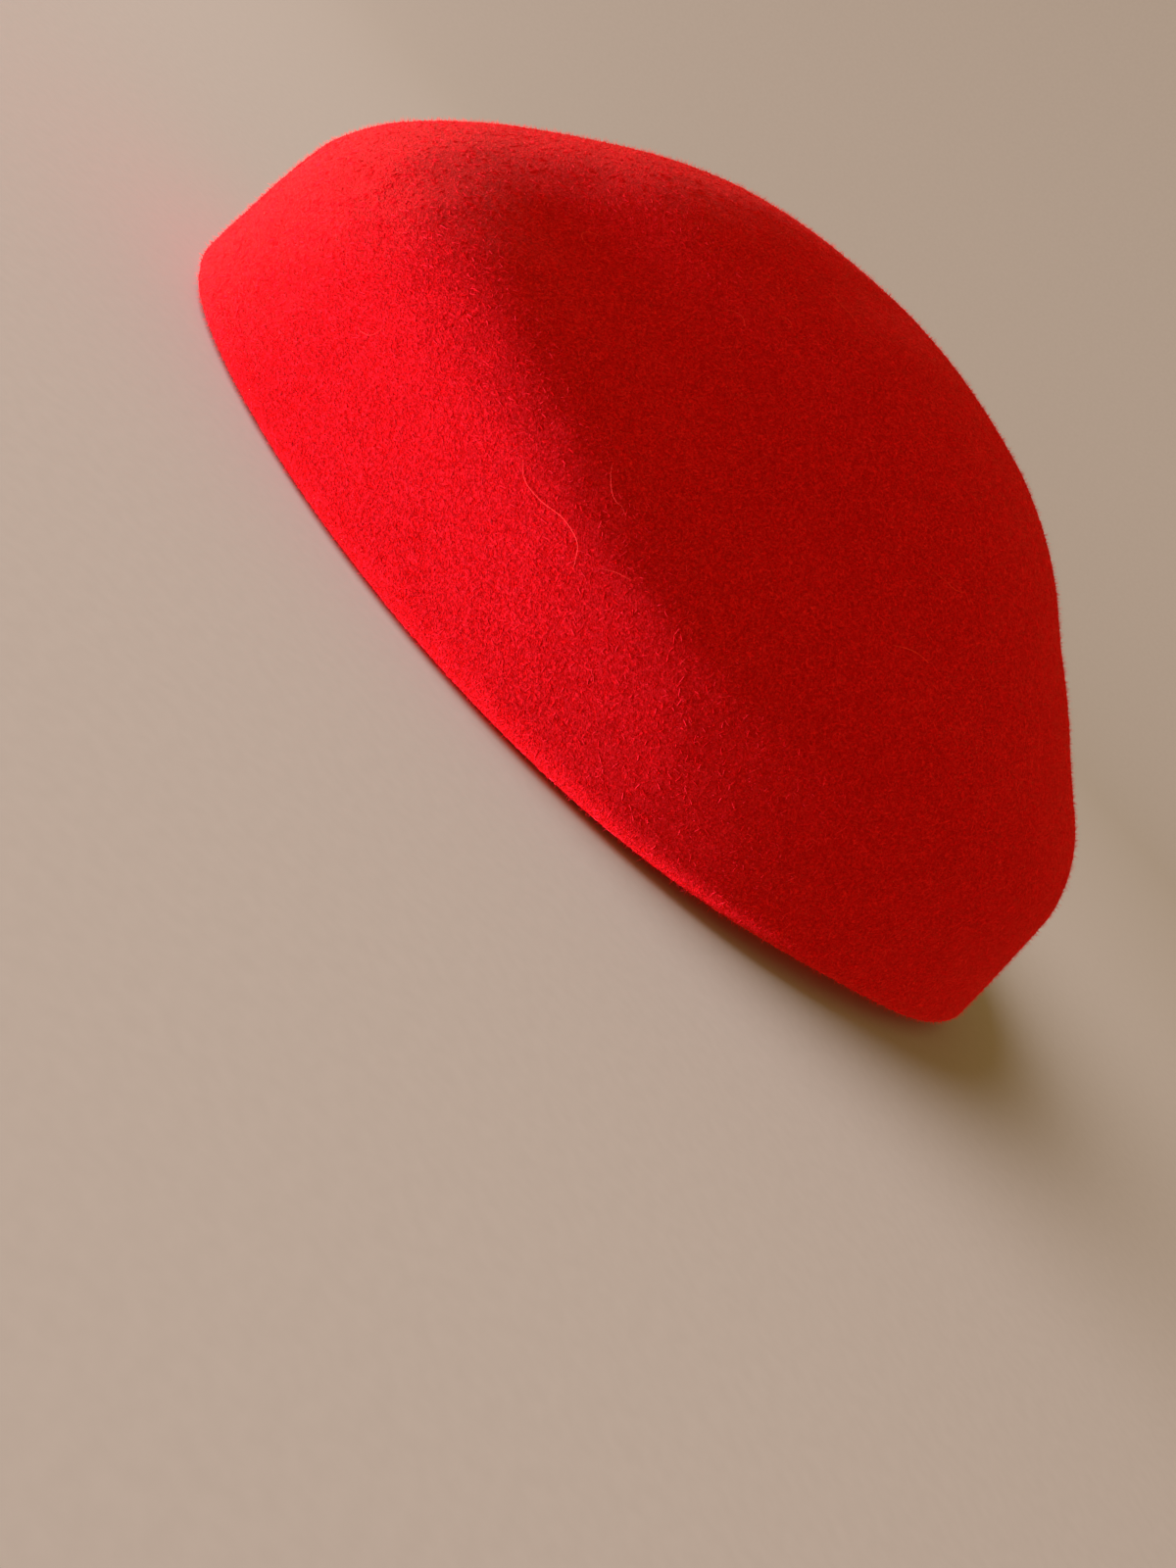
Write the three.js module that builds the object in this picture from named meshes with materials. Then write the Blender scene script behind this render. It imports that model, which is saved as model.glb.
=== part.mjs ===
// A hat blocked from one piece of wool felt: a low domed crown, a soft shoulder, a near upright
// side, a tight turned edge and an underside that runs in to a plain cut head opening.
// Millimetres. +Z is up, the front is towards -Y and the wearer's left is towards +X.
// The origin is the middle of the rim, on the surface that the hat rests on.

import * as THREE from 'three';

// Driving dimensions
const RIM_RADIUS = 138; // outside of the felt, where the side meets the turned edge
const HEIGHT = 113; // top of the crown over the surface
const FELT = 2.5; // thickness of the felt
const EDGE_ROLL = 5.5; // outer radius of the turn from the side to the underside
const REST_RING = 15; // width of the flat ring that the hat stands on
const OPENING_RADIUS = 93; // plain cut head opening
const LIP_LIFT = 5; // height of the cut lip over the surface

// How far the side and crown reach forwards and backwards of the middle, at each height
const OUTLINE = [
  { at: 'foot of the side', height: EDGE_ROLL, front: RIM_RADIUS, back: RIM_RADIUS },
  { at: 'head of the side', height: 34, front: 136, back: 133.5 },
  { at: 'shoulder begins', height: 45, front: 133, back: 130 },
  { at: 'shoulder ends', height: 56, front: 126, back: 122 },
  { at: 'lower crown', height: 69, front: 113, back: 105.5 },
  { at: 'middle crown', height: 84, front: 93, back: 88 },
  { at: 'upper crown', height: 98, front: 70.5, back: 67 },
  { at: 'near the top', height: 108.5, front: 41.5, back: 38 },
];

// Soft dents in the crown, pressed in square to the felt. A bearing is in degrees from the
// front towards the wearer's left. Spread is how far a dent runs round the crown, in degrees,
// and rise how far it runs up and down. Its middle drops by fall over one spread. Each runs out
// towards the top of the crown, within about TOP_FADE of its middle.
const DENTS = [
  { name: 'side hollow', bearing: 85, spread: 37, height: 73, rise: 27.5, fall: 27, depth: 7 },
  { name: 'front fold', bearing: 53, spread: 17, height: 76.5, rise: 12, fall: 0, depth: 4.5 },
  { name: 'back hollow', bearing: 172, spread: 36, height: 89.5, rise: 12, fall: 0, depth: 2 },
];
const TOP_FADE = 25;

// Where the rim waves off its round: drawn in towards the middle (or out, where inward is less
// than 0) and lifted, each fading upwards
const WAVES = [
  { name: 'behind the left ear', bearing: 135, spread: 29, inward: 5, lift: 4 },
  { name: 'left of the front', bearing: 29, spread: 16, inward: -2.7, lift: 0 },
];
const INWARD_FADE = 40;
const LIFT_FADE = 25;

// Fineness of the mesh
const SIDES = 72;
const STEPS_PER_ROW = 2;
const ROLL_STEPS = 4;
const UNDERSIDE_STEPS = 3;

const FELT_COLOUR = 0xc80a08;

// A smooth curve up one side of the outline, over the top and one row down the other side
function crownCurve(side) {
  const points = OUTLINE.map((row) => new THREE.Vector2(row[side], row.height));
  const last = points.at(-1);
  points.push(new THREE.Vector2(0, HEIGHT), new THREE.Vector2(-last.x, last.y));
  return new THREE.SplineCurve(points);
}

// Rows of the crown and side from the top down: mean radius, lean towards the front and height
function crownRows() {
  const front = crownCurve('front');
  const back = crownCurve('back');
  const spans = OUTLINE.length;
  const steps = spans * STEPS_PER_ROW;
  const rows = [{ radius: 0, lean: 0, height: HEIGHT }];
  for (let step = steps - 1; step >= 0; step--) {
    const along = (step / steps) * (spans / (spans + 1));
    const ahead = front.getPoint(along);
    const behind = back.getPoint(along);
    rows.push({
      radius: (ahead.x + behind.x) / 2,
      lean: (ahead.x - behind.x) / 2,
      height: ahead.y,
    });
  }
  return rows;
}

// Rows round the turned edge, down to the flat ring
function edgeRows() {
  const rows = [];
  for (let step = 1; step <= ROLL_STEPS; step++) {
    const turn = (step / ROLL_STEPS) * (Math.PI / 2);
    rows.push({
      radius: RIM_RADIUS - EDGE_ROLL * (1 - Math.cos(turn)),
      lean: 0,
      height: EDGE_ROLL * (1 - Math.sin(turn)),
    });
  }
  return rows;
}

// Rows of the underside: across the flat ring, then a slow lift to the lip of the opening
function undersideRows() {
  const ringInside = RIM_RADIUS - EDGE_ROLL - REST_RING;
  const rows = [{ radius: ringInside, lean: 0, height: 0 }];
  for (let step = 1; step <= UNDERSIDE_STEPS; step++) {
    const along = step / UNDERSIDE_STEPS;
    rows.push({
      radius: THREE.MathUtils.lerp(ringInside, OPENING_RADIUS, along),
      lean: 0,
      height: LIP_LIFT * along * along,
    });
  }
  return rows;
}

// Gives each row the unit normal of its outer face, as radius and height, from its neighbours,
// and the height of that face, which both faces of the felt follow
function addFace(rows) {
  rows.forEach((row, index) => {
    const before = rows[Math.max(index - 1, 0)];
    const after = rows[Math.min(index + 1, rows.length - 1)];
    row.normal = new THREE.Vector2(before.height - after.height, after.radius - before.radius);
    if (row.radius === 0) row.normal.set(0, 1);
    row.normal.normalize();
    row.face = row.height;
  });
  return rows;
}

// The same rows one felt thickness further in
function innerRows(rows) {
  return rows.map((row) => ({
    ...row,
    radius: row.radius - FELT * row.normal.x,
    height: row.height - FELT * row.normal.y,
  }));
}

// A smooth bump that is 1 in the middle and runs out over about one spread
function bump(away, spread) {
  return Math.exp(-((away / spread) ** 2));
}

// Degrees from one bearing to another, the short way round
function turnFrom(centre, bearing) {
  return THREE.MathUtils.euclideanModulo(bearing - centre + 180, 360) - 180;
}

// How far the felt is pressed in, square to its face
function dentDepth(bearing, height, radius) {
  let depth = 0;
  for (const dent of DENTS) {
    const away = turnFrom(dent.bearing, bearing);
    const middle = dent.height - (dent.fall * away) / dent.spread;
    depth += dent.depth * bump(away, dent.spread) * bump(height - middle, dent.rise);
  }
  return depth * (1 - bump(radius, TOP_FADE));
}

// How far the rim is drawn in and lifted
function rimWave(bearing, height) {
  let inward = 0;
  let lift = 0;
  for (const wave of WAVES) {
    const strength = bump(turnFrom(wave.bearing, bearing), wave.spread);
    inward += wave.inward * strength * bump(height, INWARD_FADE);
    lift += wave.lift * strength * bump(height, LIFT_FADE);
  }
  return { inward, lift };
}

// The whole felt: one profile turned round the middle, then leant, dented and waved
function feltGeometry() {
  const outer = addFace([...crownRows(), ...edgeRows(), ...undersideRows()]);
  const rows = [...innerRows(outer), ...outer.toReversed()];
  const profile = rows.map((row) => new THREE.Vector2(row.radius, row.height));
  const geometry = new THREE.LatheGeometry(profile, SIDES);
  geometry.rotateX(Math.PI / 2);

  const position = geometry.getAttribute('position');
  for (let index = 0; index < position.count; index++) {
    const row = rows[index % rows.length];
    if (row.radius === 0) continue;
    const turn = (Math.floor(index / rows.length) / SIDES) * 2 * Math.PI;
    const bearing = THREE.MathUtils.radToDeg(turn);
    const dent = dentDepth(bearing, row.face, row.radius);
    const wave = rimWave(bearing, row.face);
    const reach = row.radius + row.lean * Math.cos(turn) - dent * row.normal.x - wave.inward;
    const height = row.height - dent * row.normal.y + wave.lift;
    position.setXYZ(index, reach * Math.sin(turn), -reach * Math.cos(turn), height);
  }
  geometry.computeVertexNormals();
  return geometry;
}

// Matt blocked wool felt
function feltMesh() {
  const felt = new THREE.MeshStandardMaterial({ color: FELT_COLOUR, roughness: 0.95, metalness: 0 });
  const mesh = new THREE.Mesh(feltGeometry(), felt);
  mesh.name = 'felt_body';
  return mesh;
}

const hat = new THREE.Group();
hat.name = 'wool_felt_hat';
hat.add(feltMesh());

export default hat;
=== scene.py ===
"""A hat blocked from one piece of red wool felt, resting by itself on a pale studio floor.

The felt is one closed shell with the lumps that blocking leaves, under a nap of fine wool fibres: most
lie tangled on the face, and some stand off it as fuzz. Metres, +Z up, front towards -Y, and the
wearer's left towards +X.
"""

import logging
import math
from collections.abc import Iterable, Mapping
from dataclasses import dataclass, replace
from enum import Enum

import bpy
import numpy as np
from mathutils import Matrix, Vector, noise


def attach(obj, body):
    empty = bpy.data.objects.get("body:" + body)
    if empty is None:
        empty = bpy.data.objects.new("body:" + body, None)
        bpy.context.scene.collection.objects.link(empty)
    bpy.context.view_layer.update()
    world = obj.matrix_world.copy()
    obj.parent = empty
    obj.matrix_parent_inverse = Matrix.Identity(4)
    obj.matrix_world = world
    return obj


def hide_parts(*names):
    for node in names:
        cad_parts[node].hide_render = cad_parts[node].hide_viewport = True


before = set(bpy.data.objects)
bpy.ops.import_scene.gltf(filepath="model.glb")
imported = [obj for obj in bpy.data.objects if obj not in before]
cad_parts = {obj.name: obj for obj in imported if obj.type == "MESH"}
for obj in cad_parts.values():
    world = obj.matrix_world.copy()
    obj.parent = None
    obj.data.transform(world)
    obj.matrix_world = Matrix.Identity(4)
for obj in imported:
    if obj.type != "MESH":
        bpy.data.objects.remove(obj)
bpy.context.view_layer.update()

LOG = logging.getLogger("wool_felt_hat")
BODY = "root"
CAD_NODE = "felt_body"
MM = 0.001
NOISE_MIDDLE = 0.5  # the value that a noise texture varies about
Array = np.ndarray


def linear(colour: str) -> tuple[float, float, float, float]:
    """Turns an sRGB hex colour into the linear values that a socket takes.

    Args:
        colour: A colour such as "#E1120A".

    Returns:
        Red, green, blue and an alpha of 1.
    """
    parts = [int(colour[start:start + 2], 16) / 255 for start in (1, 3, 5)]
    red, green, blue = (part / 12.92 if part <= 0.04045 else ((part + 0.055) / 1.055) ** 2.4
                        for part in parts)
    return red, green, blue, 1.0


def add_node(tree: bpy.types.NodeTree, kind: str, settings: Mapping | None = None,
             inputs: Mapping | None = None) -> bpy.types.Node:
    """Adds a node, with its settings and what goes into it.

    Args:
        tree: The tree that the node joins.
        kind: Blender's name for the node.
        settings: Properties of the node, by name.
        inputs: For each input, by name or number, a value or the output that feeds it.

    Returns:
        The new node.
    """
    node = tree.nodes.new(kind)
    for name, value in (settings or {}).items():
        setattr(node, name, value)
    for name, value in (inputs or {}).items():
        if isinstance(value, bpy.types.NodeSocket):
            tree.links.new(value, node.inputs[name])
        else:
            node.inputs[name].default_value = value
    return node


def empty_material(name: str) -> bpy.types.Material:
    """Returns a new material whose node tree is empty."""
    material = bpy.data.materials.new(name)
    material.use_nodes = True
    material.node_tree.nodes.clear()
    return material


def fill_ramp(ramp: bpy.types.ColorRamp, stops: Mapping[float, str]) -> None:
    """Gives a colour ramp its colours.

    Args:
        ramp: A new ramp, which has two stops.
        stops: The sRGB hex colour at each place, from the lowest.
    """
    while len(ramp.elements) < len(stops):
        ramp.elements.new(0.5)
    for element, (at, colour) in zip(ramp.elements, stops.items()):
        element.position = at
        element.color = linear(colour)


def mesh_object(name: str, points: Array, faces: Iterable) -> bpy.types.Object:
    """Makes a smooth shaded object from points and faces, and links it to the scene.

    Args:
        name: The name of the object and its mesh.
        points: One row of x, y and z for each vertex, in metres.
        faces: The vertex numbers of each face.

    Returns:
        The new object.
    """
    mesh = bpy.data.meshes.new(name)
    mesh.from_pydata(points.tolist(), [], list(faces))
    mesh.shade_smooth()
    piece = bpy.data.objects.new(name, mesh)
    bpy.context.scene.collection.objects.link(piece)
    return piece


def fan(tip: int, ring: Array) -> list[tuple[int, ...]]:
    """Joins a tip to a ring.

    Args:
        tip: The vertex number of the tip.
        ring: The vertex numbers of the ring.

    Returns:
        The triangles, wound from the tip along the ring.
    """
    return [(tip, int(a), int(b)) for a, b in zip(ring, np.roll(ring, -1))]


def bridge(first: Array, second: Array) -> list[tuple[int, ...]]:
    """Joins two rings, one of which may have twice the sides of the other.

    Args:
        first: The vertex numbers of the upper ring.
        second: The vertex numbers of the ring after it.

    Returns:
        The faces between them, which face out where first lies above second.
    """
    if len(first) == len(second):
        ahead = np.roll(first, -1), np.roll(second, -1)
        return np.column_stack((first, second, ahead[1], ahead[0])).tolist()
    flip = len(first) > len(second)
    coarse, fine = (second, first) if flip else (first, second)
    ahead = np.roll(coarse, -1)
    begin, middle, end = fine[0::2], fine[1::2], np.roll(fine, -2)[0::2]
    joined = np.vstack([np.column_stack(corners) for corners in (
        (coarse, begin, middle), (coarse, middle, ahead), (ahead, middle, end))])
    return (joined[:, ::-1] if flip else joined).tolist()


def bump_shape(away: Array, spread: float) -> Array:
    """Returns a smooth bump that is 1 in the middle and runs out over about one spread."""
    return np.exp(-((away / spread) ** 2))


def turn_from(centre: float, bearing: Array) -> Array:
    """Returns the degrees from one bearing to others, the short way round."""
    return (bearing - centre + 180) % 360 - 180


def through(points: Array, at: Array) -> Array:
    """Follows a smooth curve through points.

    Args:
        points: The points, one row each.
        at: Places along the curve, counted in points from the first.

    Returns:
        A row for each place.
    """
    last = len(points) - 1
    index = np.minimum(at.astype(int), last - 1)
    part = (at - index)[:, None]
    begin, end = points[index], points[index + 1]
    leave = (end - points[np.maximum(index - 1, 0)]) / 2
    arrive = (points[np.minimum(index + 2, last)] - begin) / 2
    cubic = 2 * (begin - end) + leave + arrive
    square = 3 * (end - begin) - 2 * leave - arrive
    return ((cubic * part + square) * part + leave) * part + begin


@dataclass(frozen=True)
class OutlineRow:
    """How far the side or crown reaches forwards and backwards of the middle, at one height."""

    height: float
    front: float
    back: float


@dataclass(frozen=True)
class Dent:
    """A soft dent, pressed in square to the felt. Bearing and spread are in degrees.

    Its middle drops by fall over one spread, and rise is how far it runs up and down.
    """

    bearing: float
    spread: float
    height: float
    rise: float
    fall: float
    depth: float


@dataclass(frozen=True)
class Wave:
    """Where the rim is drawn in, or out if inward is less than 0, and lifted.

    Bearing and spread are in degrees.
    """

    bearing: float
    spread: float
    inward: float
    lift: float


@dataclass(frozen=True)
class Profile:
    """Rows down the felt: mean radius, lean to the front, height, outward normal and face height."""

    radius: Array
    lean: Array
    height: Array
    normal_out: Array
    normal_up: Array
    face: Array

    def columns(self) -> tuple[Array, ...]:
        """Returns the values in the order that BlockedForm.place takes them."""
        return self.radius, self.lean, self.height, self.normal_out, self.normal_up, self.face


@dataclass(frozen=True)
class BlockedForm:
    """The form that the felt was blocked to, with the dents and waves that wear has left in it."""

    rim_radius: float = 0.138
    height: float = 0.113
    felt: float = 0.0025
    edge_roll: float = 0.0055
    rest_ring: float = 0.015
    opening_radius: float = 0.093
    lip_lift: float = 0.005
    top_fade: float = 0.025
    inward_fade: float = 0.040
    lift_fade: float = 0.025
    face_step: float = 1 * MM  # between the rows that single points are placed by
    outline: tuple[OutlineRow, ...] = (
        OutlineRow(height=0.0055, front=0.1380, back=0.1380),
        OutlineRow(height=0.0340, front=0.1360, back=0.1335),
        OutlineRow(height=0.0450, front=0.1330, back=0.1300),
        OutlineRow(height=0.0560, front=0.1260, back=0.1220),
        OutlineRow(height=0.0690, front=0.1130, back=0.1055),
        OutlineRow(height=0.0840, front=0.0930, back=0.0880),
        OutlineRow(height=0.0980, front=0.0705, back=0.0670),
        OutlineRow(height=0.1085, front=0.0415, back=0.0380),
    )
    dents: tuple[Dent, ...] = (
        Dent(bearing=85, spread=37, height=0.0730, rise=0.0275, fall=0.027, depth=0.0070),
        Dent(bearing=53, spread=17, height=0.0765, rise=0.0120, fall=0.000, depth=0.0045),
        Dent(bearing=172, spread=36, height=0.0895, rise=0.0120, fall=0.000, depth=0.0020),
    )
    waves: tuple[Wave, ...] = (
        Wave(bearing=135, spread=29, inward=0.0050, lift=0.004),
        Wave(bearing=29, spread=16, inward=-0.0027, lift=0.0),
    )

    def crown_curve(self, side: str, at: Array) -> Array:
        """Follows the outline up one side and over the top.

        Args:
            side: The column of the outline table, front or back.
            at: Places along the curve, counted in rows of the table from the foot of the side.

        Returns:
            A radius and a height for each place.
        """
        knots = [(getattr(row, side), row.height) for row in self.outline]
        knots += [(0.0, self.height), (-knots[-1][0], knots[-1][1])]
        return through(np.array(knots), at)

    def drawn_profile(self, fineness: int = 200) -> Array:
        """Draws the outer face very finely, from the top of the crown down to the cut lip.

        Args:
            fineness: Points for each row of the outline table, and for the roll and the underside.

        Returns:
            Mean radius, lean and height for each point.
        """
        at = np.linspace(len(self.outline), 0, len(self.outline) * fineness)
        ahead, behind = self.crown_curve("front", at), self.crown_curve("back", at)
        crown = np.column_stack(((ahead[:, 0] + behind[:, 0]) / 2, (ahead[:, 0] - behind[:, 0]) / 2,
                                 ahead[:, 1]))
        turn = np.linspace(0, math.pi / 2, fineness)[1:]
        roll = np.column_stack((self.rim_radius - self.edge_roll * (1 - np.cos(turn)), 0 * turn,
                                self.edge_roll * (1 - np.sin(turn))))
        ring_inside = self.rim_radius - self.edge_roll - self.rest_ring
        along = np.linspace(0, 1, fineness)
        lift = np.column_stack((ring_inside + (self.opening_radius - ring_inside) * along, 0 * along,
                                self.lip_lift * along**2))
        return np.vstack((crown, roll, lift))

    def profile(self, step: float) -> Profile:
        """Spaces rows evenly down the outer face.

        Args:
            step: The distance between rows, in metres.

        Returns:
            The rows, from the top of the crown down to the cut lip.
        """
        drawn = self.drawn_profile()
        run = np.concatenate(([0], np.cumsum(np.hypot(*np.diff(drawn[:, [0, 2]], axis=0).T))))
        at = np.linspace(0, run[-1], round(run[-1] / step) + 1)
        radius, lean, height = (np.interp(at, run, drawn[:, column]) for column in range(3))
        out, up = -np.gradient(height), np.gradient(radius)
        out[0], up[0] = 0.0, 1.0
        length = np.hypot(out, up)
        return Profile(radius, lean, height, out / length, up / length, height)

    def inner_profile(self, outer: Profile) -> Profile:
        """Returns the same rows one felt thickness further in."""
        return replace(outer, radius=outer.radius - self.felt * outer.normal_out,
                       height=outer.height - self.felt * outer.normal_up)

    def ring(self, rows: Profile, row: int, sides: int) -> Array:
        """Places one row round the hat.

        Args:
            rows: The profile.
            row: Which of its rows.
            sides: How many points the ring has.

        Returns:
            The points, from the front round by the wearer's left.
        """
        turn = np.arange(sides) / sides * 2 * math.pi
        return self.place(turn, *(column[row] for column in rows.columns()))

    def on_face(self, bearing: Array, down: Array, clear: Array) -> Array:
        """Places points on the outer face, or clear of it.

        Args:
            bearing: Degrees from the front towards the wearer's left.
            down: How far down the face from the top of the crown, in metres.
            clear: How far off the felt, in metres.

        Returns:
            One row of x, y and z for each point.
        """
        rows = self.profile(self.face_step)
        numbers = np.arange(len(rows.face))
        radius, lean, height, out, up, face = (
            np.interp(down / self.face_step, numbers, column) for column in rows.columns())
        turn = np.radians(bearing)
        normals = np.column_stack((out * np.sin(turn), -out * np.cos(turn), up))
        placed = self.place(turn, radius, lean, height, out, up, face)
        return placed + normals * np.reshape(clear, (-1, 1))

    def place(self, turn: Array, radius: Array, lean: Array, height: Array, out: Array, up: Array,
              face: Array) -> Array:
        """Places points with the dents and waves there. What is the same for all may be one number.

        Args:
            turn: Their bearings in radians.
            radius: The mean radius of their row.
            lean: How far the row leans to the front.
            height: The row's height.
            out: The outward part of its normal.
            up: The upward part of its normal.
            face: The height that dents and waves go by.

        Returns:
            One row of x, y and z for each point.
        """
        bearing = np.degrees(turn)
        depth, inward, lift = 0 * turn, 0 * turn, 0 * turn
        for dent in self.dents:
            away = turn_from(dent.bearing, bearing)
            middle = dent.height - dent.fall * away / dent.spread
            depth += dent.depth * bump_shape(away, dent.spread) * bump_shape(face - middle, dent.rise)
        depth *= 1 - bump_shape(radius, self.top_fade)
        for wave in self.waves:
            strength = bump_shape(turn_from(wave.bearing, bearing), wave.spread)
            inward += wave.inward * strength * bump_shape(face, self.inward_fade)
            lift += wave.lift * strength * bump_shape(face, self.lift_fade)
        reach = radius + lean * np.cos(turn) - depth * out - inward
        return np.column_stack((reach * np.sin(turn), -reach * np.cos(turn), height - depth * up + lift))


@dataclass(frozen=True)
class WoolFelt:
    """Dyed wool felt, blocked and left unpressed: dull, soft and finely pebbled.

    Wool takes dye unevenly from fibre to fibre, and the colour also follows the relief, so strands on the
    face show bright against a deeper red in the gaps between them: partly uneven dye, partly painted shade
    in the gaps. The strands catch a pale sheen where light grazes them.
    """

    deep_red_and_gap_shade: str = "#CC0000"
    red: str = "#E20C0C"
    bright: str = "#F41A20"
    sheen_tint: str = "#FF5810"
    sheen: float = 0.03
    sheen_roughness: float = 0.5
    roughness: float = 0.95
    ior: float = 1.54  # keratin
    specular: float = 0.02
    # Pebbles of the milled face, and the slow drift of the dye
    pebble: float = 0.8 * MM
    pebble_detail: float = 1.5
    pebble_roughness: float = 0.6
    pebble_low: float = 0.3
    pebble_high: float = 0.7
    mottle: float = 10 * MM
    mottle_detail: float = 2.0
    mottle_share: float = 0.16
    # Real fibres are 0.02 mm thick. They show as matted strands, and those are drawn at 0.25 mm, which
    # is about as fine as a picture of the whole hat can hold.
    strand_spacing: float = 0.5 * MM
    strand_length: float = 1.8 * MM
    strand_detail: float = 0.5
    strand_width: float = 0.13  # half width of a strand, as a share of the noise that it runs through
    strand_share: float = 0.5  # how much of the face the strands make, against the pebbles
    strand_turns: tuple[tuple[float, float, float], ...] = ((0, 0, 20), (70, 15, 0), (20, 80, 60))
    relief: float = 1.15 * MM

    def material(self) -> bpy.types.Material:
        """Builds the felt's material."""
        material = empty_material("wool_felt")
        tree = material.node_tree
        place = add_node(tree, "ShaderNodeTexCoord").outputs["Object"]
        pebbles = add_node(tree, "ShaderNodeTexNoise", inputs={
            "Vector": place, "Scale": 1 / self.pebble, "Detail": self.pebble_detail,
            "Roughness": self.pebble_roughness})
        raised = add_node(tree, "ShaderNodeMapRange", inputs={
            "Value": pebbles.outputs["Fac"], "From Min": self.pebble_low,
            "From Max": self.pebble_high}).outputs["Result"]
        tangle = None
        for turn in self.strand_turns:
            strand = self.strand(tree, place, turn)
            tangle = strand if tangle is None else add_node(
                tree, "ShaderNodeMath", {"operation": "MAXIMUM"}, {0: tangle, 1: strand}).outputs[0]
        face = add_node(tree, "ShaderNodeMix", inputs={
            "Factor": self.strand_share, "A": raised, "B": tangle}).outputs["Result"]
        mottle = add_node(tree, "ShaderNodeTexNoise", inputs={
            "Vector": place, "Scale": 1 / self.mottle, "Detail": self.mottle_detail}).outputs["Fac"]
        shade = add_node(tree, "ShaderNodeMix", inputs={
            "Factor": self.mottle_share, "A": face, "B": mottle})
        # The ramp follows the relief as well as the mottle: the low gaps between strands and pebbles take
        # the deep red as painted shade, on top of the uneven dye.
        ramp = add_node(tree, "ShaderNodeValToRGB", inputs={"Fac": shade.outputs["Result"]})
        fill_ramp(ramp.color_ramp, {0.15: self.deep_red_and_gap_shade, 0.5: self.red, 0.85: self.bright})
        bump = add_node(tree, "ShaderNodeBump", inputs={"Height": face, "Distance": self.relief})
        shader = add_node(tree, "ShaderNodeBsdfPrincipled", inputs={
            "Base Color": ramp.outputs["Color"], "Roughness": self.roughness, "IOR": self.ior,
            "Specular IOR Level": self.specular, "Sheen Weight": self.sheen,
            "Sheen Roughness": self.sheen_roughness, "Sheen Tint": linear(self.sheen_tint),
            "Normal": bump.outputs["Normal"]})
        add_node(tree, "ShaderNodeOutputMaterial", inputs={"Surface": shader.outputs["BSDF"]})
        return material

    def strand(self, tree: bpy.types.NodeTree, place: bpy.types.NodeSocket,
               turn: tuple[float, float, float]) -> bpy.types.NodeSocket:
        """Adds matted strands that run roughly one way, where a drawn-out noise crosses its middle.

        Args:
            tree: The material's node tree.
            place: The coordinates that the strands lie in.
            turn: Degrees that the strands are turned by.

        Returns:
            How far the strands stand up, from 0 to 1.
        """
        thin, long = 1 / self.strand_spacing, 1 / self.strand_length
        laid = add_node(tree, "ShaderNodeMapping", inputs={
            "Vector": place, "Rotation": tuple(map(math.radians, turn)), "Scale": (long, thin, thin)})
        wander = add_node(tree, "ShaderNodeTexNoise", inputs={
            "Vector": laid.outputs["Vector"], "Scale": 1.0, "Detail": self.strand_detail})
        aside = add_node(tree, "ShaderNodeMath", {"operation": "SUBTRACT"}, {
            0: wander.outputs["Fac"], 1: NOISE_MIDDLE})
        away = add_node(tree, "ShaderNodeMath", {"operation": "ABSOLUTE"}, {0: aside.outputs[0]})
        return add_node(tree, "ShaderNodeMapRange", inputs={
            "Value": away.outputs[0], "From Min": 0.0, "From Max": self.strand_width,
            "To Min": 1.0, "To Max": 0.0}).outputs["Result"]


@dataclass(frozen=True)
class WoolFibre:
    """Single dyed wool fibres, dull and in one shade of the red."""

    name: str
    colour: str
    roughness: float = 0.8
    ior: float = 1.54  # keratin
    specular: float = 0.015

    def material(self) -> bpy.types.Material:
        """Builds the fibre's material. Each fibre is too thin to show a pattern of its own."""
        material = empty_material(self.name)
        tree = material.node_tree
        shader = add_node(tree, "ShaderNodeBsdfPrincipled", inputs={
            "Base Color": linear(self.colour), "Roughness": self.roughness, "IOR": self.ior,
            "Specular IOR Level": self.specular})
        add_node(tree, "ShaderNodeOutputMaterial", inputs={"Surface": shader.outputs["BSDF"]})
        return material


@dataclass(frozen=True)
class SeamlessPaper:
    """Matt studio background paper: pale, warm and faintly mottled by its pulp."""

    pale: str = "#88827A"
    dark: str = "#868078"
    roughness: float = 0.9
    ior: float = 1.5  # paper
    specular: float = 0.1
    pulp: float = 3 * MM

    def material(self) -> bpy.types.Material:
        """Builds the paper's material."""
        material = empty_material("seamless_paper")
        tree = material.node_tree
        place = add_node(tree, "ShaderNodeTexCoord").outputs["Object"]
        pulp = add_node(tree, "ShaderNodeTexNoise", inputs={"Vector": place, "Scale": 1 / self.pulp})
        ramp = add_node(tree, "ShaderNodeValToRGB", inputs={"Fac": pulp.outputs["Fac"]})
        fill_ramp(ramp.color_ramp, {0.3: self.dark, 0.7: self.pale})
        shader = add_node(tree, "ShaderNodeBsdfPrincipled", inputs={
            "Base Color": ramp.outputs["Color"], "Roughness": self.roughness, "IOR": self.ior,
            "Specular IOR Level": self.specular})
        add_node(tree, "ShaderNodeOutputMaterial", inputs={"Surface": shader.outputs["BSDF"]})
        return material


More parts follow.
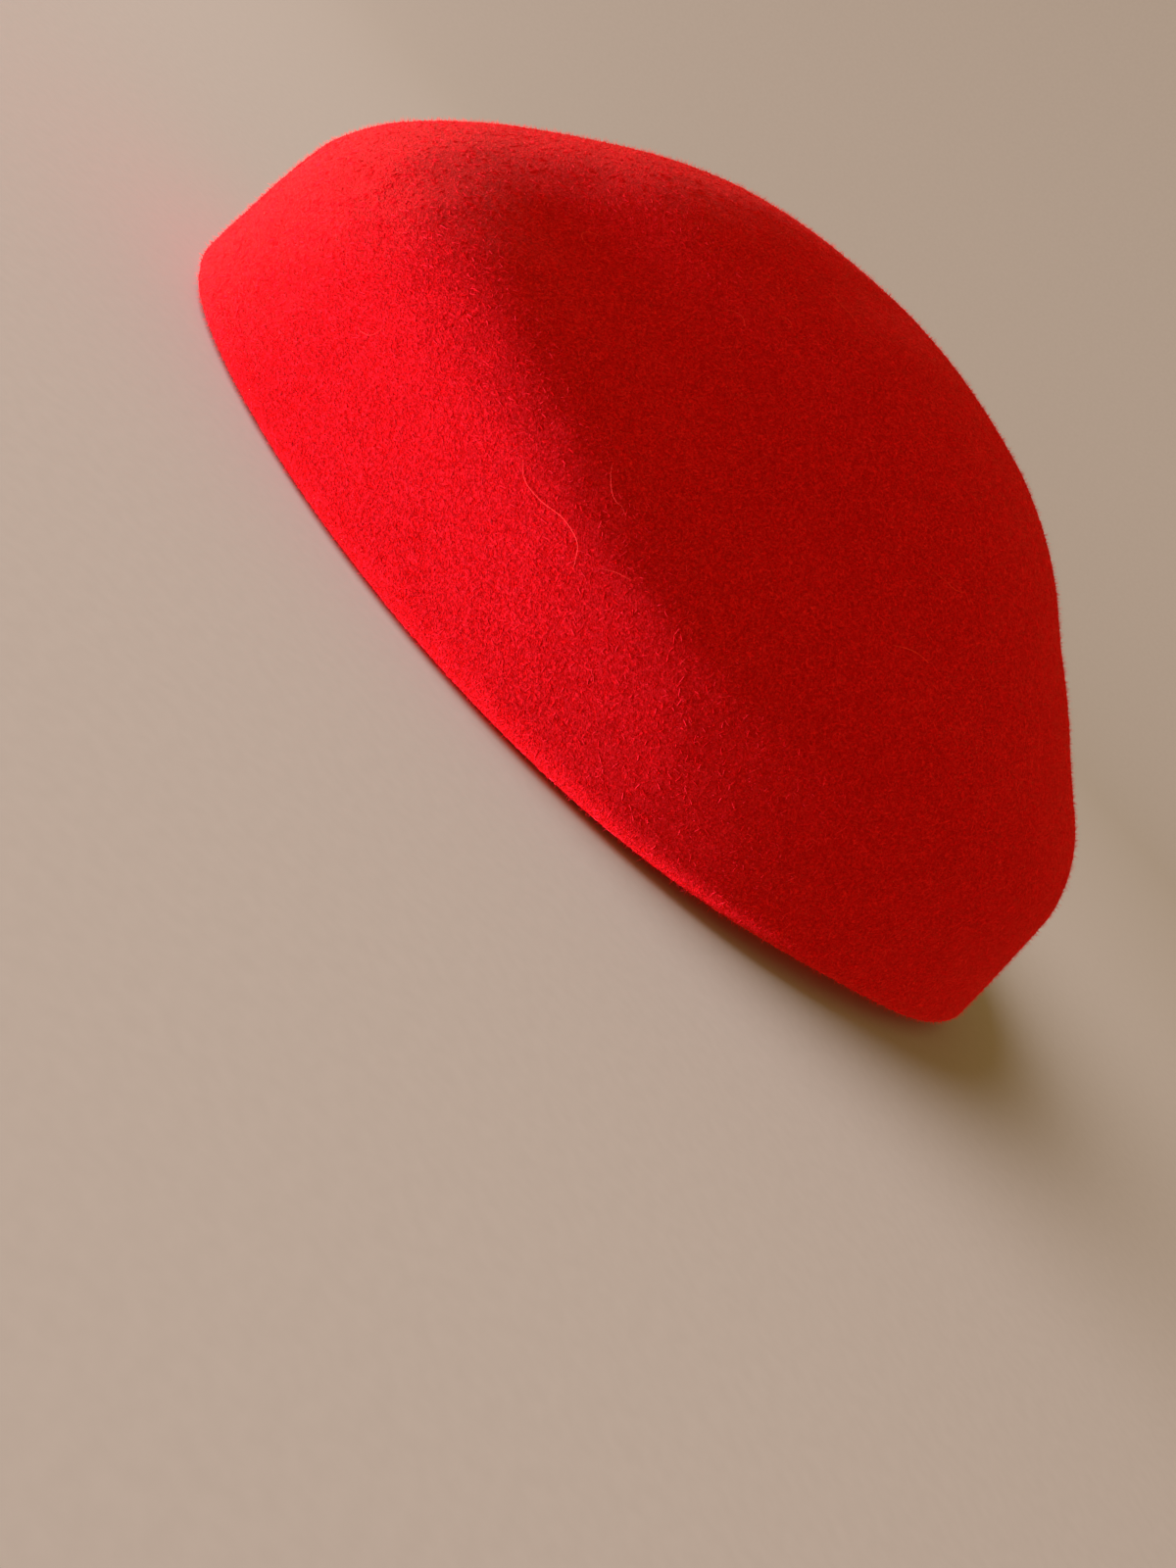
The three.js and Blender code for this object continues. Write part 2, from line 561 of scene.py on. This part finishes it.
@dataclass
class FeltShell:
    """The felt itself: one closed shell, finer outside than inside."""

    form: BlockedForm
    finish: WoolFelt
    # Fineness of the mesh: sides of its widest rings, rows, and the narrowest side that a ring may have
    sides: int = 640
    fewest_sides: int = 20
    outer_step: float = 1.5 * MM
    inner_skip: int = 3
    narrowest: float = 0.7 * MM
    # Lumps that blocking leaves, and the smaller dimples between them
    lump: float = 14 * MM
    lump_depth: float = 0.25 * MM
    dimple: float = 4.5 * MM
    dimple_depth: float = 0.07 * MM
    points: Array | None = None
    outer_faces: list[tuple[int, ...]] | None = None

    def rings(self) -> list[tuple[Profile, int, int]]:
        """Lists each ring of the shell, from the top of the crown out, under and back up inside.

        Returns:
            The profile, the row in it and the number of sides of each ring.
        """
        outer = self.form.profile(self.outer_step)
        inner = self.form.inner_profile(outer)
        last = len(outer.radius) - 1
        down = range(1, last + 1)
        up = range(last, 0, -self.inner_skip)
        found = [(outer, row, self.sides_at(outer.radius[row], self.sides)) for row in down]
        return found + [(inner, row, self.sides_at(inner.radius[row], self.sides // 2)) for row in up]

    def sides_at(self, radius: float, most: int) -> int:
        """Returns the number of sides of a ring: halved as often as keeps its sides wide enough."""
        sides = most
        while 2 * math.pi * radius / sides < self.narrowest and sides > self.fewest_sides:
            sides //= 2
        return sides

    def build(self) -> bpy.types.Object:
        """Builds the shell and its lumps, and gives it its finish.

        Returns:
            The shell's object.
        """
        rings = self.rings()
        rounds, numbers, start = [np.array([[0, 0, self.form.height]])], [], 1
        for rows, row, sides in rings:
            rounds.append(self.form.ring(rows, row, sides))
            numbers.append(np.arange(start, start + sides))
            start += sides
        rounds.append(np.array([[0, 0, self.form.height - self.form.felt]]))
        self.points = np.vstack(rounds)
        faces = fan(0, numbers[0])
        for index, (above, below) in enumerate(zip(numbers, numbers[1:])):
            if rings[index][0] is not rings[index + 1][0]:
                self.outer_faces = list(faces)
            if len(above) > 2 * len(below):
                raise ValueError("rings more than one halving apart")
            faces += bridge(above, below)
        faces += fan(start, numbers[-1][::-1])
        self.relieve(rings)
        shell = mesh_object("felt_shell", self.points, faces)
        shell.data.materials.append(self.finish.material())
        return shell

    def relieve(self, rings: list[tuple[Profile, int, int]]) -> None:
        """Raises and sinks the felt by its lumps and dimples, square to its face.

        Args:
            rings: The shell's rings, as rings lists them.
        """
        turn = np.concatenate([np.arange(sides) / sides * 2 * math.pi for _, _, sides in rings])
        out, up, face = (
            np.concatenate([np.full(sides, getattr(rows, name)[row]) for rows, row, sides in rings])
            for name in ("normal_out", "normal_up", "face"))
        normals = np.column_stack((out * np.sin(turn), -out * np.cos(turn), up))
        body = self.points[1:-1]
        lumps = np.array([noise.noise(Vector(point) / self.lump) for point in body])
        dimples = np.array([noise.noise(Vector(point) / self.dimple) for point in body])
        depth = lumps * self.lump_depth + dimples * self.dimple_depth
        depth *= np.clip(face / self.form.edge_roll, 0, 1)
        body += normals * depth[:, None]


class Lie(Enum):
    """How the fibres of a nap lie on the felt."""

    FLAT = "flat"
    STANDING = "standing"


@dataclass
class Nap:
    """Wool fibres on the outside of the felt, each thin and closed: a spindle, or a spike if it stands.

    A real wool fibre is 0.02 mm thick, and these are drawn thicker so that they show.
    """

    name: str
    shell: FeltShell
    lie: Lie
    shades: tuple[WoolFibre, ...]
    count: int
    shortest: float
    longest: float
    seed: int
    thickness: float
    # How far along a lying fibre each of its centres is, and how far off the felt
    flat_stations: tuple[tuple[float, float], ...] = (
        (-0.5, -0.09 * MM), (-0.18, 0.05 * MM), (0.18, 0.05 * MM), (0.5, -0.09 * MM))
    most_bend: float = 0.7
    least_steep: float = 0.35
    rooting: float = 0.05 * MM
    lowest: float = 0.3 * MM  # no fibre grows on the flat ring that the hat rests on

    def roots(self, rng: np.random.Generator) -> tuple[Array, Array]:
        """Picks places on the outside of the shell, evenly by area.

        Args:
            rng: The source of chance.

        Returns:
            The points, and the unit normals there.
        """
        faces = self.shell.outer_faces
        halves = [face[:3] for face in faces]
        halves += [(face[0], face[2], face[3]) for face in faces if len(face) == 4]
        corners = np.array(halves)
        a, b, c = (self.shell.points[corners[:, column]] for column in range(3))
        cross = np.cross(b - a, c - a)
        area = np.linalg.norm(cross, axis=1)
        weight = area * (a[:, 2] > self.lowest)
        picked = rng.choice(len(corners), self.count, p=weight / weight.sum())
        first, second = rng.random((2, self.count, 1))
        over = first + second > 1
        first, second = np.where(over, 1 - first, first), np.where(over, 1 - second, second)
        points = a[picked] + (b - a)[picked] * first + (c - a)[picked] * second
        return points, cross[picked] / area[picked][:, None]

    def build(self) -> bpy.types.Object:
        """Builds this share of the nap.

        Returns:
            The nap's object.
        """
        rng = np.random.default_rng(self.seed)
        points, normals = self.roots(rng)
        along = np.cross(normals, rng.normal(size=points.shape))
        along /= np.linalg.norm(along, axis=1, keepdims=True)
        across = np.cross(normals, along)
        length = rng.uniform(self.shortest, self.longest, (self.count, 1))
        if self.lie is Lie.FLAT:
            bend = rng.uniform(-self.most_bend, self.most_bend, (self.count, 1)) * length
            centres = [points + along * length * at + across * bend * at * at + normals * lift
                       for at, lift in self.flat_stations]
        else:
            steep = rng.uniform(self.least_steep, 1.0, (self.count, 1)) * length
            lean = rng.random((self.count, 1)) * length
            centres = [points - normals * self.rooting, points + along * lean + normals * steep]
        mesh_points, faces = self.closed(np.stack(centres, axis=1), along, across, normals)
        nap = mesh_object(self.name, mesh_points, faces)
        for shade in self.shades:
            nap.data.materials.append(shade.material())
        shade_of = rng.integers(0, len(self.shades), self.count)
        nap.data.polygons.foreach_set("material_index", np.repeat(shade_of, len(faces) // self.count))
        return nap

    def closed(self, centres: Array, along: Array, across: Array, normals: Array) -> tuple[Array, list]:
        """Makes a three-sided solid along each fibre: a spindle through four centres, or a spike on two.

        Args:
            centres: The points down the middle of each fibre.
            along: A unit vector on the felt, the way each fibre lies or leans.
            across: A unit vector on the felt, square to that.
            normals: The felt's normal at each fibre.

        Returns:
            The vertices, and the triangles fibre by fibre.
        """
        angles = np.radians((90, 210, 330))[None, :, None]
        upright = normals if self.lie is Lie.FLAT else along
        offsets = across[:, None] * np.cos(angles) + upright[:, None] * np.sin(angles)
        offsets *= self.thickness / 2
        if self.lie is Lie.FLAT:
            parts = (centres[:, :1], centres[:, 1, None] + offsets, centres[:, 2, None] + offsets,
                     centres[:, 3:])
            triangles, tail = [], 7
            for near, far in ((1, 2), (2, 3), (3, 1)):
                triangles += [(0, near, far), (near, near + 3, far + 3), (near, far + 3, far),
                              (near + 3, tail, far + 3)]
        else:
            parts = (centres[:, :1] + offsets, centres[:, 1:])
            triangles = [(0, 1, 3), (1, 2, 3), (2, 0, 3), (2, 1, 0)]
        points = np.concatenate(parts, axis=1)
        points[:, :, 2] = np.abs(points[:, :, 2])  # none reaches through the surface that the hat rests on
        base = np.arange(self.count)[:, None, None] * points.shape[1]
        return points.reshape(-1, 3), (np.array(triangles)[None] + base).reshape(-1, 3).tolist()


@dataclass(frozen=True)
class LooseFibre:
    """A long fibre that lies loose on the felt, through points given as degrees round and metres down."""

    path: tuple[tuple[float, float], ...]
    thickness: float


@dataclass
class LooseFibres:
    """The long loose fibres: the ones that stand out, and fainter ones strewn at random."""

    form: BlockedForm
    finish: WoolFibre
    named: tuple[LooseFibre, ...]
    sides: int = 4
    fineness: int = 6
    clear: float = 0.35 * MM
    # The strewn fibres: how far down the felt they begin, their steps, and how they curl and wander
    strewn: int = 36
    strewn_thickness: float = 0.07 * MM
    strewn_steps: int = 12
    highest: float = 30 * MM
    lowest: float = 175 * MM
    shortest_step: float = 0.5 * MM
    longest_step: float = 1.5 * MM
    curl: float = 0.25
    wander: float = 0.2
    seed: int = 5
    # The hat's radius there: a share of the way down the crown, and below the crown that of the rim
    crown_run: float = 110 * MM
    crown_share: float = 0.8
    least_radius: float = 30 * MM

    def strew(self) -> list[LooseFibre]:
        """Makes the paths of the fainter fibres, which wander over the crown and side.

        Returns:
            The fibres.
        """
        rng = np.random.default_rng(self.seed)
        found = []
        for _ in range(self.strewn):
            bearing, down = rng.uniform(0, 360), rng.uniform(self.highest, self.lowest)
            heading, curl = rng.uniform(0, 2 * math.pi), rng.normal(0, self.curl)
            step = rng.uniform(self.shortest_step, self.longest_step)
            path = []
            for _ in range(self.strewn_steps):
                path.append((bearing, down))
                on_crown = down < self.crown_run
                radius = self.crown_share * down if on_crown else self.form.rim_radius
                radius = max(self.least_radius, radius)
                bearing += math.degrees(step * math.cos(heading) / radius)
                down += step * math.sin(heading)
                heading += curl + rng.normal(0, self.wander)
            found.append(LooseFibre(tuple(path), self.strewn_thickness))
        return found

    def tube(self, fibre: LooseFibre) -> tuple[Array, list]:
        """Draws one fibre as a closed tube that is thin at both ends.

        Args:
            fibre: The fibre.

        Returns:
            Its vertices and its faces.
        """
        stations = (len(fibre.path) - 1) * self.fineness + 1
        at = np.linspace(0, len(fibre.path) - 1, stations)
        bearing, down = through(np.array(fibre.path), at).T
        arch = np.sin(np.linspace(0, math.pi, stations))
        middle = self.form.on_face(bearing, down, arch * self.clear)
        normals = (self.form.on_face(bearing, down, arch * self.clear + MM) - middle) / MM
        across = np.cross(np.gradient(middle, axis=0), normals)
        across /= np.linalg.norm(across, axis=1, keepdims=True)
        turn = (np.arange(self.sides) / self.sides * 2 * math.pi)[None, :, None]
        offsets = across[:, None] * np.cos(turn) + normals[:, None] * np.sin(turn)
        rings = middle[:, None] + offsets * (np.sqrt(arch) * fibre.thickness / 2)[:, None, None]
        points = np.vstack((middle[:1], rings[1:-1].reshape(-1, 3), middle[-1:]))
        numbers = 1 + np.arange(stations - 2)[:, None] * self.sides + np.arange(self.sides)
        faces = fan(0, numbers[0]) + fan(len(points) - 1, numbers[-1][::-1])
        for near, far in zip(numbers, numbers[1:]):
            faces += bridge(near, far)
        return points, faces

    def build(self) -> bpy.types.Object:
        """Builds all the loose fibres as one piece.

        Returns:
            Their object.
        """
        rounds, faces, start = [], [], 0
        for fibre in (*self.named, *self.strew()):
            points, corners = self.tube(fibre)
            rounds.append(points)
            faces += [tuple(corner + start for corner in face) for face in corners]
            start += len(points)
        strands = mesh_object("loose_fibres", np.vstack(rounds), faces)
        strands.data.materials.append(self.finish.material())
        return strands


@dataclass(frozen=True)
class Lamp:
    """A round soft light. Its azimuth from +X and its elevation, as seen from the hat, are in degrees."""

    name: str
    azimuth: float
    elevation: float
    distance: float
    size: float
    watts: float
    colour: str

    def build(self, receivers: bpy.types.Collection) -> None:
        """Builds the light.

        Args:
            receivers: What the light falls on.
        """
        light = bpy.data.lights.new(self.name, "AREA")
        light.shape = "DISK"
        light.size = self.size
        light.energy = self.watts
        light.color = linear(self.colour)[:3]
        lamp = bpy.data.objects.new(self.name, light)
        azimuth, elevation = math.radians(self.azimuth), math.radians(self.elevation)
        flat = math.cos(elevation)
        towards = Vector((flat * math.cos(azimuth), flat * math.sin(azimuth), math.sin(elevation)))
        lamp.location = towards * self.distance
        lamp.rotation_euler = towards.to_track_quat("Z", "Y").to_euler()
        lamp.light_linking.receiver_collection = receivers
        bpy.context.scene.collection.objects.link(lamp)


@dataclass
class Studio:
    """A pale seamless paper dish, soft light and the camera."""

    floor_radius: float = 0.9
    sweep_radius: float = 0.9
    wall_height: float = 1.8
    sides: int = 96
    sweep_steps: int = 16
    underlay_radius: float = 0.134
    underlay_depth: float = 1.0 * MM
    ambient: str = "#FFD98E"
    ambient_strength: float = 0.74
    hat_lamps: tuple[Lamp, ...] = (
        Lamp("window", azimuth=-56.6, elevation=-32.9, distance=2.0, size=0.7, watts=213.0,
             colour="#BCB4FF"),
        Lamp("side", azimuth=-126.7, elevation=3.6, distance=2.0, size=0.5, watts=80.0,
             colour="#FFEAE6"),
    )
    paper_lamp: Lamp = Lamp("paper", azimuth=-78.0, elevation=37.0, distance=2.5, size=2.4, watts=172.0,
                            colour="#F6F0FF")
    # The photograph's framing: where the camera's target lies in its frame of 1200 by 1600 pixels
    frame_width: float = 1200.0
    frame_height: float = 1600.0
    target_across: float = 727.0
    target_down: float = 541.6
    target_height: float = 0.040
    camera_distance: float = 0.4754
    camera_elevation: float = 7.72
    camera_roll: float = 46.87
    lens: float = 41.0
    sensor: float = 36.0
    clip_end: float = 20.0

    def backdrop(self) -> bpy.types.Object:
        """Builds the paper: a flat floor that sweeps up into a round wall.

        Returns:
            The backdrop's object, which lights the hat no more than the room does.
        """
        turn = np.linspace(0, math.pi / 2, self.sweep_steps + 1)
        radius = np.concatenate((self.floor_radius + self.sweep_radius * np.sin(turn),
                                 [self.floor_radius + self.sweep_radius]))
        height = np.concatenate((self.sweep_radius * (1 - np.cos(turn)), [self.wall_height]))
        round_by = np.arange(self.sides) / self.sides * 2 * math.pi
        rings = [np.column_stack((r * np.cos(round_by), r * np.sin(round_by), z + 0 * round_by))
                 for r, z in zip(radius, height)]
        points = np.vstack([np.zeros((1, 3)), *rings])
        numbers = [1 + index * self.sides + np.arange(self.sides) for index in range(len(rings))]
        faces = fan(0, numbers[0])
        for inner, outer in zip(numbers, numbers[1:]):
            faces += bridge(inner, outer)
        paper = mesh_object("backdrop", points, faces)
        paper.data.materials.append(SeamlessPaper().material())
        paper.visible_diffuse = paper.visible_glossy = paper.visible_shadow = False
        return paper

    def underlay(self) -> None:
        """Builds a round of paper just under the hat, which keeps the low lamp out of its underside."""
        round_by = np.arange(self.sides) / self.sides * 2 * math.pi
        edge = np.column_stack((np.cos(round_by), np.sin(round_by), 0 * round_by)) * self.underlay_radius
        sheet = mesh_object("underlay", edge - [0, 0, self.underlay_depth], [tuple(range(self.sides))])
        sheet.data.materials.append(SeamlessPaper().material())
        sheet.visible_diffuse = False

    def world(self) -> None:
        """Fills the room with even, warm light."""
        world = bpy.data.worlds.new("room")
        bpy.context.scene.world = world
        world.use_nodes = True
        world.node_tree.nodes.clear()
        glow = add_node(world.node_tree, "ShaderNodeBackground", inputs={
            "Color": linear(self.ambient), "Strength": self.ambient_strength})
        add_node(world.node_tree, "ShaderNodeOutputWorld", inputs={"Surface": glow.outputs["Background"]})

    def camera(self) -> None:
        """Places the camera at the photograph's angle to the hat, rolled as the hat is tilted there."""
        tilt, roll = math.radians(self.camera_elevation), math.radians(self.camera_roll)
        back = Vector((math.cos(tilt), 0, math.sin(tilt)))
        level = Vector((0, 1, 0))
        upright = back.cross(level)
        right = level * math.cos(roll) + upright * math.sin(roll)
        top = upright * math.cos(roll) - level * math.sin(roll)
        focal = self.lens / self.sensor * self.frame_height
        sight = Vector((self.target_across - self.frame_width / 2,
                        self.frame_height / 2 - self.target_down, focal))
        aim = sight.rotation_difference(Vector((0, 0, 1))).to_matrix()
        axes = Matrix((right, top, -back)).transposed() @ aim
        right, top, ahead = axes.transposed()
        data = bpy.data.cameras.new("camera")
        data.lens = self.lens
        data.sensor_width = self.sensor
        data.clip_end = self.clip_end
        camera = bpy.data.objects.new("camera", data)
        place = Matrix((right, top, -ahead)).transposed().to_4x4()
        place.translation = back * self.camera_distance + Vector((0, 0, self.target_height))
        camera.matrix_world = place
        bpy.context.scene.collection.objects.link(camera)
        bpy.context.scene.camera = camera

    def build(self, pieces: list[bpy.types.Object]) -> None:
        """Builds the studio round the hat.

        Args:
            pieces: What the hat's lamps fall on.
        """
        self.world()
        lit, paper = (bpy.data.collections.new(name) for name in ("hat_light", "paper_light"))
        for piece in pieces:
            lit.objects.link(piece)
        paper.objects.link(self.backdrop())
        self.underlay()
        for lamp in self.hat_lamps:
            lamp.build(lit)
        self.paper_lamp.build(paper)
        self.camera()


@dataclass
class WoolFeltHat:
    """The whole hat: the felt and its nap."""

    form: BlockedForm = BlockedForm()
    felt: WoolFelt = WoolFelt()
    shades: tuple[WoolFibre, ...] = (
        WoolFibre("wool_fibre_red", "#DE0D0E"),
        WoolFibre("wool_fibre_bright", "#EC161A"),
        WoolFibre("wool_fibre_pale", "#F8262C"),
    )
    loose_fibre: WoolFibre = WoolFibre("wool_fibre_loose", "#FF4234")
    loose: tuple[LooseFibre, ...] = (
        LooseFibre(thickness=0.1 * MM, path=(
            (74.6, 0.1590), (76.2, 0.1615), (78.4, 0.1618), (80.8, 0.1608), (83.0, 0.1618), (84.2, 0.1650),
            (84.6, 0.1670))),
        LooseFibre(thickness=0.09 * MM, path=((113, 0.1244), (116, 0.1222), (119, 0.1219))),
    )
    # Each nap is built in shares, so that none has too many triangles
    shares: int = 2
    nap_share: int = 12_000
    fuzz_share: int = 48_000
    fuzz_seed: int = 10

    def build(self) -> list[bpy.types.Object]:
        """Builds every piece of the hat and rides it on the hat's body.

        Returns:
            The pieces.
        """
        shell = FeltShell(self.form, self.felt)
        body = shell.build()
        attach(body, BODY)
        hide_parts(CAD_NODE)
        pieces = [body]
        for number in range(1, self.shares + 1):
            nap = Nap(f"lying_nap_{number}", shell, Lie.FLAT, self.shades, self.nap_share,
                      shortest=1.2 * MM, longest=2.8 * MM, seed=number, thickness=0.13 * MM)
            pieces.append(nap.build())
            fuzz = Nap(f"standing_fuzz_{number}", shell, Lie.STANDING, self.shades, self.fuzz_share,
                       shortest=0.5 * MM, longest=1.8 * MM, seed=self.fuzz_seed + number,
                       thickness=0.085 * MM)
            pieces.append(fuzz.build())
        pieces.append(LooseFibres(self.form, self.loose_fibre, self.loose).build())
        for piece in pieces[1:]:
            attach(piece, BODY)
        for piece in pieces:
            LOG.info("%s: %d faces on %s", piece.name, len(piece.data.polygons), BODY)
        return pieces


def main() -> None:
    """Builds the hat and its studio."""
    logging.basicConfig(level=logging.INFO, format="%(name)s: %(message)s")
    bpy.context.scene.view_settings.view_transform = "Standard"
    pieces = WoolFeltHat().build()
    Studio().build(pieces)


if __name__ == "__main__":
    main()
